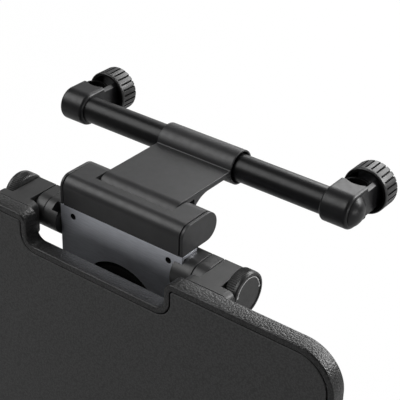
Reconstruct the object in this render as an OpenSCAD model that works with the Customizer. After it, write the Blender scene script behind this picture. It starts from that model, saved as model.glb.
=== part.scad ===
// Folding tray on a headrest bar: a bar with two screw clamps for the headrest
// posts, a swinging arm, a hinge block with a steel plate, and a tilting tray.
// X runs along the bar, -Y points to the passenger and Z is up.
// The origin is on the bar's axis, midway between the two posts.

/* [Bar] */
// Distance between the centres of the two headrest posts
post_spacing = 163; // [150:1:185]
// Outer diameter of the sliding tubes
tube_d = 14; // [13:0.5:15]
// Outer diameter of the steel core that the tubes slide on
core_d = 10; // [9:0.5:10.5]
// Wall of the steel core
core_wall = 1.2; // [1:0.1:1.6]
// Length of the steel core
core_len = 116; // [100:1:120]
// Width of the bush at the middle of the core
bush_w = 12; // [10:0.5:14]
// Gap between the bush and the inner end of each tube
tube_gap = 8; // [7.5:0.5:12]

/* [Hooks] */
// Width of a hook along the bar
hook_w = 15.2; // [14.4:0.1:16]
// Post axis to the hook's closed side
hook_side = 6.9; // [6.7:0.1:7.5]
// Radius of the hook's round front
hook_r = 9; // [8.9:0.1:10]
// Rounding of the hook's long edges at its open side
hook_edge = 1.5; // [1:0.1:2]
// Rounding of the hook's long edges at its closed side
hook_shoulder = 2; // [1:0.1:2]
// Bar axis to the nearest point of the post seat
seat_y = 8.4; // [8.2:0.1:9]
// Radius of the fixed post seat
seat_r = 9.5; // [8:0.1:11]
// Bar axis to the back face of the hook's front block
front_block_y = 9.9; // [9.6:0.1:10.4]
// Thickness of the wall that joins the seat and the nut
hook_wall = 1.7; // [1.5:0.1:2]
// Bar axis to the front face of the nut
nut_y = 24.2; // [24.2:0.1:26]
// Thickness of the nut
nut_t = 3.8; // [3:0.1:4.5]
// Height of the dome on the tube's end cap
dome_h = 3.8; // [2.5:0.1:4.5]

/* [Post clamps] */
// Radius of the moving jaw's hollow
jaw_r = 6; // [5.5:0.1:6.2]
// Wall of the moving jaw
jaw_wall = 1.4; // [1.2:0.1:1.8]
// Height of the moving jaw
jaw_h = 16.4; // [14:0.2:17]
// Bar axis to the bottom of the jaw's hollow when fully closed
jaw_y = 15; // [14.5:0.1:15.4]
// Radius of the clamp screw
screw_r = 3; // [2.5:0.1:3.4]
// Outer radius of the clamp knob
knob_r = 12; // [11.6:0.1:13]
// Wall of the knob's skirt
skirt_wall = 1.8; // [1.5:0.1:2]
// Bar axis to the front rim of the clamp knob
knob_y = 19; // [18.6:0.1:20]
// Length of the clamp knob
knob_len = 12; // [11.6:0.1:14]
// Number of grip grooves round the clamp knob
grip_count = 24; // [18:1:30]
// Half the width of a grip groove
groove_r = 0.5; // [0.4:0.05:0.7]

/* [Arm] */
// Outer radius of the arm's sleeve
sleeve_r = 9; // [8.8:0.1:10]
// Length of the arm's sleeve, and width of its web
sleeve_len = 45.8; // [42:0.2:46]
// Depth of the hollow at each end of the sleeve
sleeve_recess = 4; // [2:0.5:6]
// Thickness of the arm's web
web_t = 2.9; // [2.4:0.1:3.2]
// Radius of the arm's knuckle, whose top runs into the web's top
knuckle_r = 8.1; // [7.8:0.05:8.3]
// How far the arm's web reaches past its knuckle at each side
knuckle_step = 2.9; // [2:0.1:4]

/* [Hinge block] */
// Bar axis to the block's pin, forwards
pin_out = 46; // [45:0.5:48]
// Bar axis to the block's pin, downwards
pin_down = 6.4; // [6.2:0.1:6.8]
// Radius of the block's pin
pin_r = 2.5; // [2:0.1:3]
// Length of the block without its end caps
block_w = 72; // [70:1:76]
// Thickness of each end cap
cap_t = 1.5; // [1:0.1:2]
// Radius of the block's round back
block_r = 7.45; // [7.4:0.05:7.6]
// Pin axis to the block's front face
block_front = 18.4; // [17:0.2:19]
// Rounding of the block's upper front edge
block_nose = 6; // [4:0.2:7]
// Width and depth of the groove beside each end cap
seam = 0.6; // [0.4:0.1:0.8]
// Gap between the arm's web and the slot at each side
slot_play = 0.6; // [0.4:0.1:1.2]
// Gap between the knuckle and the slot's front wall
slot_clear = 0.3; // [0.2:0.1:0.6]

/* [Plate] */
// Thickness of the steel plate
plate_t = 1.5; // [1.2:0.1:1.8]
// Height of the plate below the block
plate_h = 81; // [78:1:90]
// Depth of the flange under the block
flange_d = 11; // [10:0.2:11]
// Radius of the round window
window_r = 25; // [22:0.5:27]
// Block's underside to the centre of the window
window_down = 45; // [42:0.5:50]
// Spacing of the two small holes
hole_spacing = 59; // [50:1:62]
// Block's underside to the small holes
hole_down = 4.6; // [4:0.2:6]
// Diameter of the small holes
hole_d = 3.4; // [3:0.1:3.6]
// Length of the collars behind the small holes
collar_len = 3.5; // [2:0.5:5]

/* [Rest pad] */
// Radius of the round rest pad in the window
pad_r = 22; // [20:0.5:24]
// Thickness of the rest pad's disc
pad_t = 5; // [4:0.5:7]

/* [Tray hinge] */
// Bar axis to the tray's tilt axis, forwards
tilt_out = 57.6; // [57.2:0.1:58]
// Bar axis to the tray's tilt axis, downwards
tilt_down = 23; // [22.6:0.1:23.4]
// Radius of the hinge barrels' round front
barrel_r = 8.8; // [8.4:0.1:8.8]
// Radius of the hinge bolts
bolt_r = 2.5; // [2:0.1:3]
// Width of each fixed knuckle beside the plate
fixed_w = 7.4; // [6:0.2:8]
// Width of each friction ring
ring_w = 6.6; // [6:0.1:8]
// Width of each tray bracket's arm
bracket_w = 11.4; // [10:0.2:13]
// Outer radius of the tilt knobs
tilt_knob_r = 11; // [10:0.1:11.2]
// Length of the tilt knobs
tilt_knob_len = 7; // [6:0.2:9]
// How far the tray and its hinges sit to the left of the block
tray_shift = 1.3; // [0:0.1:1.6]

/* [Tray] */
// Tilt axis to the back of the tray
tray_gap = 16.4; // [16.2:0.1:18]
// Width of the tray
tray_w = 268.6; // [240:0.2:280]
// Height of the tray
tray_h = 190; // [170:1:210]
// Thickness of the tray
tray_t = 8.5; // [7.5:0.1:10]
// Corner radius of the tray
tray_corner = 26; // [20:1:32]
// Width of the raised rim round the mat
rim_w = 3.1; // [2.8:0.1:4.4]
// Gap between the rim and the mat
mat_gap = 0.7; // [0.5:0.1:1]
// Thickness of the mat
mat_t = 1.6; // [1.2:0.1:2]
// Width of the notch in the tray's upper edge
notch_w = 85.4; // [83:0.2:88]
// Depth of the notch
notch_d = 15.6; // [15.2:0.1:16.5]
// Radius of the notch's outer corners
notch_ear = 5; // [4:0.5:7]
// Radius of the notch's inner corners
notch_corner = 5.5; // [4:0.5:7]

/* [Hidden] */

$fn = 72;
LEFT = -1;
RIGHT = 1;
// Radial clearance of what turns or slides
run_gap = 0.05;
// Clearance of what is fixed together
fit_gap = 0.05;
// Clearance between hinge leaves that turn past each other
leaf_gap = 0.5;
// Overshoot of a cut past the face it opens
cut = 1;

tube_r = tube_d / 2;
core_r = core_d / 2;
tube_in = bush_w / 2 + tube_gap;
hook_x = post_spacing / 2;
// Post axis to the hook's end on each side of the bar
function hook_end(side) = side == RIGHT ? hook_side : hook_w - hook_side;
// The tube stops just inside the hook's outer face, under its end cap
function tube_out(side) = hook_x + hook_end(side) - 0.4;
plug_len = 7;
cap_r = tube_r + 0.6;
dome_r = (cap_r * cap_r + dome_h * dome_h) / (2 * dome_h);

wall_x = hook_side - hook_wall;
nut_r = knob_r - skirt_wall - 0.7;
jaw_cy = jaw_y - jaw_r;
jaw_out_r = jaw_r + jaw_wall;
jaw_boss_r = 4;
jaw_back = jaw_y + 3;
tip_r = screw_r - 1.2;
tip_len = 1.4;
knob_web_y = nut_y + nut_t + 0.6;
knob_end = knob_y + knob_len;
skirt_r = knob_r - skirt_wall;
grub_r = 1.5;

pin_y = -pin_out;
pin_z = -pin_down;
front_y = pin_y - block_front;
block_top = pin_z + block_r;
block_bottom = pin_z - block_r;
block_half = block_w / 2;
plate_half = block_half + cap_t;
web_top = pin_z + knuckle_r - 0.03;
knuckle_w = sleeve_len - 2 * knuckle_step;
slot_front = knuckle_r + slot_clear;
slot_w = sleeve_len + 2 * slot_play;
washer_r = 5;
washer_t = slot_play + knuckle_step - 0.3;
// Screws that hold the plate's flange under the block
flange_screw_x = 14;
flange_screw_in = 5.2;
flange_screw_r = 1.55;
flange_screw_len = 6;
flange_head_r = 3.4;
flange_head_t = 1.8;
flange_drive_r = 1.3;
// Pegs that hold the end caps in the block
peg_out = 12.5;
peg_r = 2;
peg_len = 4.5;
// Screws that hold the rest pad behind the plate
lug_screw_x = 7.5;
lug_screw_down = 5.5;
plate_bottom = block_bottom - plate_h;
window_z = block_bottom - window_down;
hole_z = block_bottom - hole_down;

tilt_y = -tilt_out;
tilt_z = -tilt_down;
// The barrels are rounder in front than at the bolt, and flat on top
barrel_y = tilt_y - 1.7;
barrel_z = tilt_z - 1.3;
barrel_top = barrel_z + barrel_r;
barrel_back = tilt_y + 7.6;
barrel_corner = 0.8;
// The plate's edge sits in the knuckles, which reach this far behind it
grip_x = 4.5;
grip_gap = 0.5;
fixed_out = plate_half + grip_gap + fixed_w;
ring_in = fixed_out + 0.15;
ring_out = ring_in + ring_w;
bracket_in = ring_out + leaf_gap;
bracket_out = bracket_in + bracket_w;
tilt_knob_in = bracket_out + leaf_gap;
tilt_knob_out = tilt_knob_in + tilt_knob_len;
bolt_in = plate_half - 3.5;
bolt_head_r = 4.2;
bolt_head_t = 3;
bolt_out = tilt_knob_out - 2;
nut_flat_r = 4.5;
nut_len = 3.2;
face_r = tilt_knob_r - 1.7;
face_t = 0.7;
face_sunk = 0.35;

tray_top = barrel_top;
tray_back = tilt_y - tray_gap;
tray_front = tray_back - tray_t;
tray_mid_z = tray_top - tray_h / 2;
foot_t = 5;
foot_lug_in = 6.25;
foot_lug_out = 8;
foot_in = bracket_in - foot_lug_in;
foot_out = bracket_out + foot_lug_out;
foot_h = 18.5;
foot_corner = 4;
// Screws between foot and tray, with heads sunk in the foot beside the arm
foot_screw_r = 1.6;
foot_screw_up = 5;
foot_bite = 4;
foot_head_r = 2.6;
foot_head_t = 1.8;
foot_drive_r = 1.2;

// A 2-D outline (y, z) extruded along X from x0 to x1
module slab_x(x0, x1) {
    translate([x0, 0, 0]) rotate([90, 0, 90]) linear_extrude(height = x1 - x0) children();
}

// A 2-D outline (x, z) extruded along Y from y0 to y1
module slab_y(y0, y1) {
    translate([0, y1, 0]) rotate([90, 0, 0]) linear_extrude(height = y1 - y0) children();
}

// A round bar along X
module rod_x(r, x0, x1) {
    translate([x0, 0, 0]) rotate([0, 90, 0]) cylinder(r = r, h = x1 - x0);
}

// A round bar along Y
module rod_y(r, y0, y1) {
    translate([0, y0, 0]) rotate([-90, 0, 0]) cylinder(r = r, h = y1 - y0);
}

// Places a child on the left or the right side, mirrored for the left
module on_side(side) {
    if (side == LEFT) mirror([1, 0, 0]) children();
    else children();
}

// A rectangle w by h about the origin with true round corners
module rounded_rect(w, h, r) {
    square([w - 2 * r, h], center = true);
    square([w, h - 2 * r], center = true);
    for (x = [-1, 1], y = [-1, 1])
        translate([x * (w / 2 - r), y * (h / 2 - r)]) circle(r = r);
}

// Bar: core, bush and the two sliding tubes

module core_tube() {
    color("silver") difference() {
        rod_x(core_r, -core_len / 2, core_len / 2);
        rod_x(core_r - core_wall, -core_len / 2 - cut, core_len / 2 + cut);
    }
}

module centre_bush() {
    color("dimgray") difference() {
        rod_x(tube_r, -bush_w / 2, bush_w / 2);
        rod_x(core_r + fit_gap, -bush_w / 2 - cut, bush_w / 2 + cut);
    }
}

module slide_tube(side) {
    color([0.13, 0.13, 0.14]) difference() {
        rod_x(tube_r, tube_in, tube_out(side));
        rod_x(core_r + run_gap, tube_in - cut, tube_out(side) + cut);
        translate([hook_x - 3, 0, -tube_r - cut]) cylinder(r = grub_r + fit_gap, h = 2 * cut + tube_r - core_r);
    }
}

// Hooks: both open to the same side, so that the bar goes on sideways

// Section of the hook's front (x along the bar, y across it)
module hook_section() {
    open_x = hook_side - hook_w;
    for (s = [-1, 1]) {
        translate([open_x + hook_edge, s * (hook_r - hook_edge)]) circle(r = hook_edge);
        translate([hook_side - hook_shoulder, s * (hook_r - hook_shoulder)]) circle(r = hook_shoulder);
    }
    translate([open_x + hook_edge, -hook_r]) square([hook_w - hook_edge - hook_shoulder, 2 * hook_r]);
    translate([open_x, hook_edge - hook_r]) square([hook_w / 2, 2 * (hook_r - hook_edge)]);
    translate([0, hook_shoulder - hook_r]) square([hook_side, 2 * (hook_r - hook_shoulder)]);
}

module hook_front() {
    // Round front, turned about the bar's axis, with rounded ends
    rotate([0, 90, 0]) rotate_extrude() intersection() {
        rotate(90) hook_section();
        translate([0, -hook_w]) square([hook_r + cut, 2 * hook_w]);
    }
    // Flat block behind it, with the same rounded edges
    slab_y(0, front_block_y) hook_section();
}

module hook_back() {
    // Wall on one side of the post, and the nut that it carries
    intersection() {
        rod_y(nut_r, front_block_y - 3, nut_y + nut_t);
        translate([wall_x, front_block_y - 3, -hook_r])
            cube([hook_wall, nut_y + nut_t, 2 * hook_r]);
    }
    intersection() {
        rod_y(nut_r, nut_y, nut_y + nut_t);
        translate([-hook_side, nut_y, -hook_r]) cube([2 * hook_side, nut_t, 2 * hook_r]);
    }
}

module hook() {
    color([0.12, 0.12, 0.13]) difference() {
        union() {
            hook_front();
            hook_back();
        }
        // Fixed post seat, open to one side
        intersection() {
            translate([0, seat_y + seat_r, -hook_r - cut]) cylinder(r = seat_r, h = 2 * hook_r + 2 * cut);
            translate([-hook_w, 0, -2 * hook_r]) cube([hook_w + wall_x, nut_y, 4 * hook_r]);
        }
        // Bore for the tube, thread of the nut and hole for the grub screw
        rod_x(tube_r + fit_gap, -hook_w, hook_w);
        rod_y(screw_r + run_gap, nut_y - cut, nut_y + nut_t + cut);
        children();
    }
}

// The grub screw's hole lies on the hook's inner half on both sides
module grub_hole(side) {
    translate([-side * 3, 0, -hook_r - cut]) cylinder(r = grub_r + fit_gap, h = hook_r);
}

module hook_cap(side) {
    color([0.15, 0.15, 0.16]) translate([hook_end(side), 0, 0]) rotate([0, 90, 0]) rotate_extrude() {
        intersection() {
            translate([0, dome_h - dome_r]) circle(r = dome_r);
            square([hook_r, hook_r]);
        }
        translate([0, -plug_len]) square([core_r, plug_len + 0.1]);
    }
}

module hook_screw() {
    color("gray") translate([hook_x - 3, 0, -hook_r + 0.8]) difference() {
        cylinder(r = grub_r, h = hook_r - core_r - 0.4);
        translate([0, 0, -cut]) cylinder(r = 0.8, h = cut + 1.2, $fn = 6);
    }
}

// Post clamps

module clamp_pad() {
    color([0.2, 0.2, 0.21]) difference() {
        union() {
            intersection() {
                translate([0, jaw_cy, -jaw_h / 2]) cylinder(r = jaw_out_r, h = jaw_h);
                translate([-hook_side + 0.3, jaw_cy + 1.2, -jaw_h / 2])
                    cube([hook_side + wall_x - 0.6, jaw_out_r, jaw_h]);
            }
            rod_y(jaw_boss_r, jaw_y + 0.3, jaw_back);
        }
        translate([0, jaw_cy, -jaw_h / 2 - cut]) cylinder(r = jaw_r, h = jaw_h + 2 * cut);
        rod_y(tip_r + run_gap, jaw_back - tip_len - 0.1, jaw_back + cut);
    }
}

module clamp_screw() {
    color("silver") {
        rod_y(screw_r, jaw_back + 0.1, knob_end - 1.5);
        rod_y(tip_r, jaw_back - tip_len, jaw_back + 0.2);
    }
}

module clamp_knob() {
    color([0.16, 0.16, 0.17]) difference() {
        rotate([-90, 0, 0]) translate([0, 0, knob_y]) rotate_extrude() {
            // Skirt and web, with a round outer back edge
            translate([skirt_r, 0]) square([knob_r - 0.4 - skirt_r, 0.5]);
            translate([skirt_r, 0.4]) square([skirt_wall, knob_len - 2.4]);
            translate([screw_r + fit_gap, knob_web_y - knob_y])
                square([knob_r - 2 - screw_r - fit_gap, knob_end - knob_web_y]);
            translate([knob_r - 2, knob_len - 2]) intersection() {
                circle(r = 2);
                square(2);
            }
        }
        for (i = [0 : grip_count - 1]) rotate([0, (i + 0.5) * 360 / grip_count, 0])
            translate([knob_r - 0.2, 0, 0]) rod_y(groove_r, knob_y + 1.7, knob_end + cut);
    }
}

// Arm between the bar and the hinge block

// Outline (y, z) of the arm: sleeve, web and knuckle, blended into each other
module arm_outline() {
    // Fillet between the web's top and the sleeve
    top_fillet = 6;
    blend = sleeve_r + top_fillet - 0.03;
    fillet_z = web_top + top_fillet;
    fillet_y = -sqrt(blend * blend - fillet_z * fillet_z);
    meet_z = fillet_z * sleeve_r / blend;
    // Hollow under the web, which runs into the knuckle
    under = web_top - web_t;
    reach = 20;
    drop = under - pin_z;
    hollow_y = pin_y + reach;
    hollow_r = (reach * reach + drop * drop - knuckle_r * knuckle_r) / (2 * (knuckle_r + drop)) + 0.03;
    hollow_z = under - hollow_r;
    share = knuckle_r / (knuckle_r + hollow_r);
    touch_z = pin_z + share * (hollow_z - pin_z);
    circle(r = sleeve_r);
    translate([pin_y, pin_z]) circle(r = knuckle_r);
    difference() {
        polygon([
            [0, meet_z], [fillet_y, meet_z], [fillet_y, web_top], [pin_y, web_top],
            [pin_y, pin_z], [pin_y + share * reach, touch_z], [hollow_y, touch_z], [hollow_y, under], [0, under]
        ]);
        translate([fillet_y, fillet_z]) circle(r = top_fillet);
        translate([hollow_y, hollow_z]) circle(r = hollow_r);
    }
}

module arm() {
    under = web_top - web_t;
    color([0.14, 0.14, 0.15]) difference() {
        slab_x(-sleeve_len / 2, sleeve_len / 2) arm_outline();
        rod_x(tube_r + run_gap, -sleeve_len, sleeve_len);
        translate([0, pin_y, pin_z]) rod_x(pin_r + run_gap, -sleeve_len, sleeve_len);
        for (side = [LEFT, RIGHT]) on_side(side) {
            rod_x(tube_r + 1, sleeve_len / 2 - sleeve_recess, sleeve_len);
            // The knuckle is narrower than the web, which leaves room for a washer
            translate([knuckle_w / 2, pin_y - knuckle_r - cut, pin_z - knuckle_r - cut])
                cube([sleeve_len, 2 * knuckle_r + 2 * cut, under - pin_z + knuckle_r + cut]);
        }
    }
}

module arm_washer() {
    color("silver") translate([knuckle_w / 2 + 0.15, pin_y, pin_z]) difference() {
        rod_x(washer_r, 0, washer_t);
        rod_x(pin_r + fit_gap, -cut, washer_t + cut);
    }
}

// Hinge block with its pin and end caps

// Outline (y, z) of the block, drawn in by inset
module block_outline(inset = 0) {
    r = block_r - inset;
    translate([pin_y, pin_z]) circle(r = r);
    difference() {
        translate([front_y + inset, pin_z - r]) square([block_front - inset, 2 * r]);
        translate([front_y - cut, block_top - block_nose]) square([block_nose + cut, block_nose + cut]);
    }
    translate([front_y + block_nose, block_top - block_nose]) circle(r = block_nose - inset);
}

module block_screw_places() {
    for (x = [-flange_screw_x, flange_screw_x])
        translate([x, front_y + plate_t + flange_screw_in, block_bottom]) children();
}

module cap_peg_places() {
    translate([0, pin_y - peg_out, pin_z]) children();
}

module hinge_block() {
    color([0.15, 0.15, 0.16]) difference() {
        union() {
            slab_x(seam - block_half, block_half - seam) block_outline();
            slab_x(-block_half, block_half) block_outline(seam);
        }
        translate([-slot_w / 2, pin_y - slot_front, block_bottom - cut])
            cube([slot_w, slot_front + block_r + cut, 2 * block_r + 2 * cut]);
        translate([0, pin_y, pin_z]) rod_x(pin_r + fit_gap, -block_w, block_w);
        block_screw_places() translate([0, 0, -cut])
            cylinder(r = flange_screw_r + fit_gap, h = flange_screw_len + 2 + cut);
        for (side = [LEFT, RIGHT]) on_side(side)
            cap_peg_places() rod_x(peg_r + fit_gap, block_half - peg_len - 0.5, block_half + cut);
    }
}

module block_pin() {
    color("silver") translate([0, pin_y, pin_z]) rod_x(pin_r, -block_half + 0.3, block_half - 0.3);
}

module block_cap() {
    color([0.14, 0.14, 0.15]) {
        slab_x(block_half, plate_half) block_outline();
        cap_peg_places() rod_x(peg_r, block_half - peg_len, block_half);
    }
}

// Steel plate with its flange under the block

module mount_plate() {
    fillet = 0.6;
    half_h = plate_h / 2;
    color([0.36, 0.38, 0.41]) difference() {
        union() {
            slab_x(-plate_half, plate_half) {
                translate([front_y, block_bottom - plate_t]) square([flange_d, plate_t]);
                translate([front_y + plate_t, block_bottom - plate_t - fillet]) difference() {
                    translate([-0.1, 0]) square([fillet + 0.1, fillet + 0.1]);
                    translate([fillet, 0]) circle(r = fillet);
                }
            }
            slab_y(front_y, front_y + plate_t) translate([0, plate_bottom + half_h]) {
                translate([0, -half_h / 2]) rounded_rect(2 * plate_half, half_h, 10);
                translate([-plate_half, -10]) square([2 * plate_half, half_h + 10]);
            }
            for (x = [-hole_spacing / 2, hole_spacing / 2])
                translate([x, 0, hole_z]) rod_y(hole_d / 2 + 1.1, front_y + plate_t - 0.1, front_y + plate_t + collar_len);
        }
        translate([0, 0, window_z]) rod_y(window_r, front_y - cut, front_y + plate_t + cut);
        for (x = [-hole_spacing / 2, hole_spacing / 2])
            translate([x, 0, hole_z]) rod_y(hole_d / 2, front_y - cut, front_y + plate_t + collar_len + cut);
        for (x = [-lug_screw_x, lug_screw_x])
            translate([x, 0, window_z - window_r - lug_screw_down])
                rod_y(1.6, front_y - cut, front_y + plate_t + cut);
        block_screw_places() translate([0, 0, -plate_t - cut])
            cylinder(r = flange_screw_r + 0.55, h = plate_t + 2 * cut);
    }
}

module plate_screws() {
    color("gray") block_screw_places() difference() {
        union() {
            translate([0, 0, -plate_t - flange_head_t]) cylinder(r = flange_head_r, h = flange_head_t - 0.02);
            translate([0, 0, -plate_t - 0.1]) cylinder(r = flange_screw_r, h = plate_t + flange_screw_len);
        }
        translate([0, 0, -plate_t - flange_head_t - cut])
            cylinder(r = flange_drive_r, h = flange_head_t - 0.8 + cut, $fn = 6);
    }
}

module rest_pad() {
    lug_z = -window_r - lug_screw_down;
    back = front_y + plate_t;
    color([0.07, 0.07, 0.07]) translate([0, 0, window_z]) difference() {
        union() {
            rod_y(pad_r, back - 0.6, back + pad_t);
            // Flange that the plate carries from behind, with two screw lugs
            rod_y(window_r + 2.5, back + 0.02, back + 2);
            slab_y(back + 0.02, back + 2) translate([0, lug_z / 2 - 1.5])
                rounded_rect(23, -lug_z + 3, 3);
        }
        for (r = [pad_r - 3.2, pad_r - 8, pad_r - 13]) difference() {
            rod_y(r, back - 2, back + 0.3);
            rod_y(r - 1.2, back - 3, back + 1);
        }
        for (x = [-lug_screw_x, lug_screw_x])
            translate([x, 0, lug_z]) rod_y(1.25, back - cut, back + pad_t);
    }
}

// Tray hinge: fixed knuckles, friction rings and bolts

module barrel_outline() {
    translate([barrel_y, barrel_z]) circle(r = barrel_r);
    translate([(barrel_y + barrel_back) / 2, barrel_z]) {
        w = barrel_back - barrel_y;
        square([w, 2 * (barrel_r - barrel_corner)], center = true);
        translate([-w / 2, -barrel_r]) square([w - barrel_corner, 2 * barrel_r]);
        for (s = [-1, 1])
            translate([w / 2 - barrel_corner, s * (barrel_r - barrel_corner)]) circle(r = barrel_corner);
    }
}

module bolt_bore(gap, x0, x1) {
    translate([0, tilt_y, tilt_z]) rod_x(bolt_r + gap, x0, x1);
}

// Seen from its own side, drawn to the right; the hinge's middle lies at x = 0
module fixed_knuckle_body(side) {
    grip = plate_half - grip_x + side * tray_shift;
    difference() {
        slab_x(grip, fixed_out) barrel_outline();
        bolt_bore(fit_gap, 0, fixed_out + cut);
        translate([0, tilt_y, tilt_z]) rod_x(bolt_head_r + 0.1, 0, bolt_in + bolt_head_t + 0.05);
    }
}

// Everything in front of the plate's back face, beside the plate
module plate_space(front, x0, x1) {
    translate([x0, front, barrel_z - barrel_r - cut])
        cube([x1 - x0, front_y + plate_t + fit_gap - front, 2 * barrel_r + 2 * cut]);
}

module left_fixed_knuckle() {
    color([0.15, 0.15, 0.16]) difference() {
        at_hinge(LEFT) fixed_knuckle_body(LEFT);
        plate_space(barrel_y - barrel_r - cut, -plate_half - grip_gap, -plate_half + grip_x + cut);
        // Pocket in the barrel's upper front
        translate([-plate_half - 4.6, front_y - 1.6, barrel_top - 6]) cube([4.6, 4.6, 6 + cut]);
    }
}

module right_fixed_knuckle() {
    color([0.15, 0.15, 0.16]) difference() {
        at_hinge(RIGHT) fixed_knuckle_body(RIGHT);
        plate_space(front_y - fit_gap, plate_half - grip_x - cut, plate_half + 0.1);
    }
}

module friction_ring() {
    color([0.16, 0.16, 0.17]) difference() {
        slab_x(ring_in, ring_out) barrel_outline();
        bolt_bore(fit_gap, ring_in - cut, ring_out + cut);
    }
}

module hinge_bolt() {
    color("silver") translate([0, tilt_y, tilt_z]) difference() {
        union() {
            rod_x(bolt_r, bolt_in, bolt_out);
            rod_x(bolt_head_r, bolt_in, bolt_in + bolt_head_t);
        }
        translate([bolt_in - cut, 0, 0]) rotate([0, 90, 0]) cylinder(r = 2, h = 1.6 + cut, $fn = 6);
    }
}

// Tray brackets and the tray

module foot_screw_places() {
    for (x = [bracket_in - foot_lug_in / 2, bracket_out + foot_lug_out / 2])
        translate([x, tray_back, tray_top - foot_h + foot_screw_up]) children();
}

module tray_bracket() {
    color([0.15, 0.15, 0.16]) difference() {
        union() {
            slab_x(bracket_in, bracket_out) {
                barrel_outline();
                translate([tray_back, barrel_z - barrel_r]) square([barrel_y - tray_back, 2 * barrel_r]);
            }
            slab_y(tray_back, tray_back + foot_t)
                translate([(foot_in + foot_out) / 2, tray_top - foot_h / 2])
                    rounded_rect(foot_out - foot_in, foot_h, foot_corner);
        }
        bolt_bore(run_gap, bracket_in - cut, bracket_out + cut);
        foot_screw_places() {
            rod_y(foot_screw_r + 0.1, -cut, foot_t + cut);
            rod_y(foot_head_r + 0.1, foot_t - foot_head_t, foot_t + cut);
        }
    }
}

module bracket_screws() {
    color("gray") for (side = [LEFT, RIGHT]) at_hinge(side) foot_screw_places() {
        rod_y(foot_screw_r, -foot_bite, foot_t - foot_head_t + 0.1);
        difference() {
            rod_y(foot_head_r, foot_t - foot_head_t + 0.02, foot_t - 0.1);
            rotate([-90, 0, 0]) translate([0, 0, foot_t - 1]) cylinder(r = foot_drive_r, h = 1 + cut, $fn = 6);
        }
    }
}

// Outline (x, z) of the tray, drawn in by inset on every edge
module tray_outline(inset) {
    half = notch_w / 2 + inset;
    top = tray_top - inset;
    ear = max(notch_ear - inset, 0.6);
    corner = notch_corner + inset;
    floor_z = tray_top - notch_d - inset;
    difference() {
        translate([0, tray_mid_z])
            rounded_rect(tray_w - 2 * inset, tray_h - 2 * inset, tray_corner - inset);
        difference() {
            translate([-half - ear, floor_z]) square([2 * (half + ear), notch_d + inset + cut]);
            for (s = [-1, 1]) {
                // Round outer corners
                translate([s * (half + ear), top - ear]) circle(r = ear);
                translate([s * (half + ear) - ear, floor_z - cut])
                    square([2 * ear, top - ear - floor_z + cut]);
                // Round inner corners
                translate([s * (half - corner / 2), floor_z + corner / 2]) difference() {
                    square(corner, center = true);
                    translate([-s * corner / 2, corner / 2]) circle(r = corner);
                }
            }
        }
    }
}

module tray_shell() {
    color([0.16, 0.16, 0.16]) translate([-tray_shift, 0, 0]) difference() {
        slab_y(tray_front, tray_back) tray_outline(0);
        slab_y(tray_front - cut, tray_front + mat_t) tray_outline(rim_w);
        for (side = [LEFT, RIGHT]) on_side(side)
            foot_screw_places() rod_y(foot_screw_r + fit_gap, -foot_bite - 0.2, cut);
    }
}

module tray_mat() {
    color([0.2, 0.2, 0.2]) translate([-tray_shift, 0, 0])
        slab_y(tray_front, tray_front + mat_t - 0.02) tray_outline(rim_w + mat_gap);
}

// Tilt knobs

module tilt_knob() {
    color([0.15, 0.15, 0.16]) translate([0, tilt_y, tilt_z]) difference() {
        translate([tilt_knob_in, 0, 0]) rotate([0, 90, 0]) rotate_extrude() polygon([
            [0, 0], [tilt_knob_r - 1, 0], [tilt_knob_r, 0.6],
            [tilt_knob_r, tilt_knob_len - 0.7], [tilt_knob_r - 0.7, tilt_knob_len], [0, tilt_knob_len]
        ]);
        rod_x(bolt_r + 0.1, tilt_knob_in - cut, bolt_out + 0.3);
        rod_x(face_r + fit_gap, tilt_knob_out - face_t - face_sunk, tilt_knob_out + cut);
        translate([tilt_knob_in - cut, 0, 0]) rotate([0, 90, 0])
            cylinder(r = nut_flat_r + 0.05, h = cut + 0.4 + nut_len, $fn = 6);
    }
}

module knob_nut() {
    color("goldenrod") translate([tilt_knob_in + 0.3, tilt_y, tilt_z]) difference() {
        rotate([0, 90, 0]) cylinder(r = nut_flat_r, h = nut_len, $fn = 6);
        rod_x(bolt_r + run_gap, -cut, nut_len + cut);
    }
}

module knob_face() {
    color([0.18, 0.18, 0.19]) translate([0, tilt_y, tilt_z])
        rod_x(face_r, tilt_knob_out - face_t - face_sunk + 0.02, tilt_knob_out - face_sunk);
}

// Places a part of the tray's hinge on the left or the right side
module at_hinge(side) {
    translate([-tray_shift, 0, 0]) on_side(side) children();
}

// Places a hook part at its post; the hooks are the same hand on both sides
module at_post(side) {
    translate([side * hook_x, 0, 0]) children();
}

core_tube();
centre_bush();
on_side(LEFT) slide_tube(LEFT);  // left_tube
at_post(LEFT) hook() grub_hole(LEFT);  // left_hook
at_post(LEFT) on_side(LEFT) hook_cap(LEFT);  // left_hook_cap
on_side(LEFT) hook_screw();  // left_hook_screw
slide_tube(RIGHT);  // right_tube
at_post(RIGHT) hook() grub_hole(RIGHT);  // right_hook
at_post(RIGHT) hook_cap(RIGHT);  // right_hook_cap
hook_screw();  // right_hook_screw
at_post(LEFT) clamp_pad();  // left_clamp_pad
at_post(LEFT) clamp_screw();  // left_clamp_screw
at_post(LEFT) clamp_knob();  // left_clamp_knob
at_post(RIGHT) clamp_pad();  // right_clamp_pad
at_post(RIGHT) clamp_screw();  // right_clamp_screw
at_post(RIGHT) clamp_knob();  // right_clamp_knob
arm();
hinge_block();
block_pin();
on_side(LEFT) block_cap();  // left_block_cap
block_cap();  // right_block_cap
on_side(LEFT) arm_washer();  // left_arm_washer
arm_washer();  // right_arm_washer
mount_plate();
plate_screws();
rest_pad();
left_fixed_knuckle();
right_fixed_knuckle();
at_hinge(LEFT) friction_ring();  // left_friction_ring
at_hinge(RIGHT) friction_ring();  // right_friction_ring
at_hinge(LEFT) hinge_bolt();  // left_hinge_bolt
at_hinge(RIGHT) hinge_bolt();  // right_hinge_bolt
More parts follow.
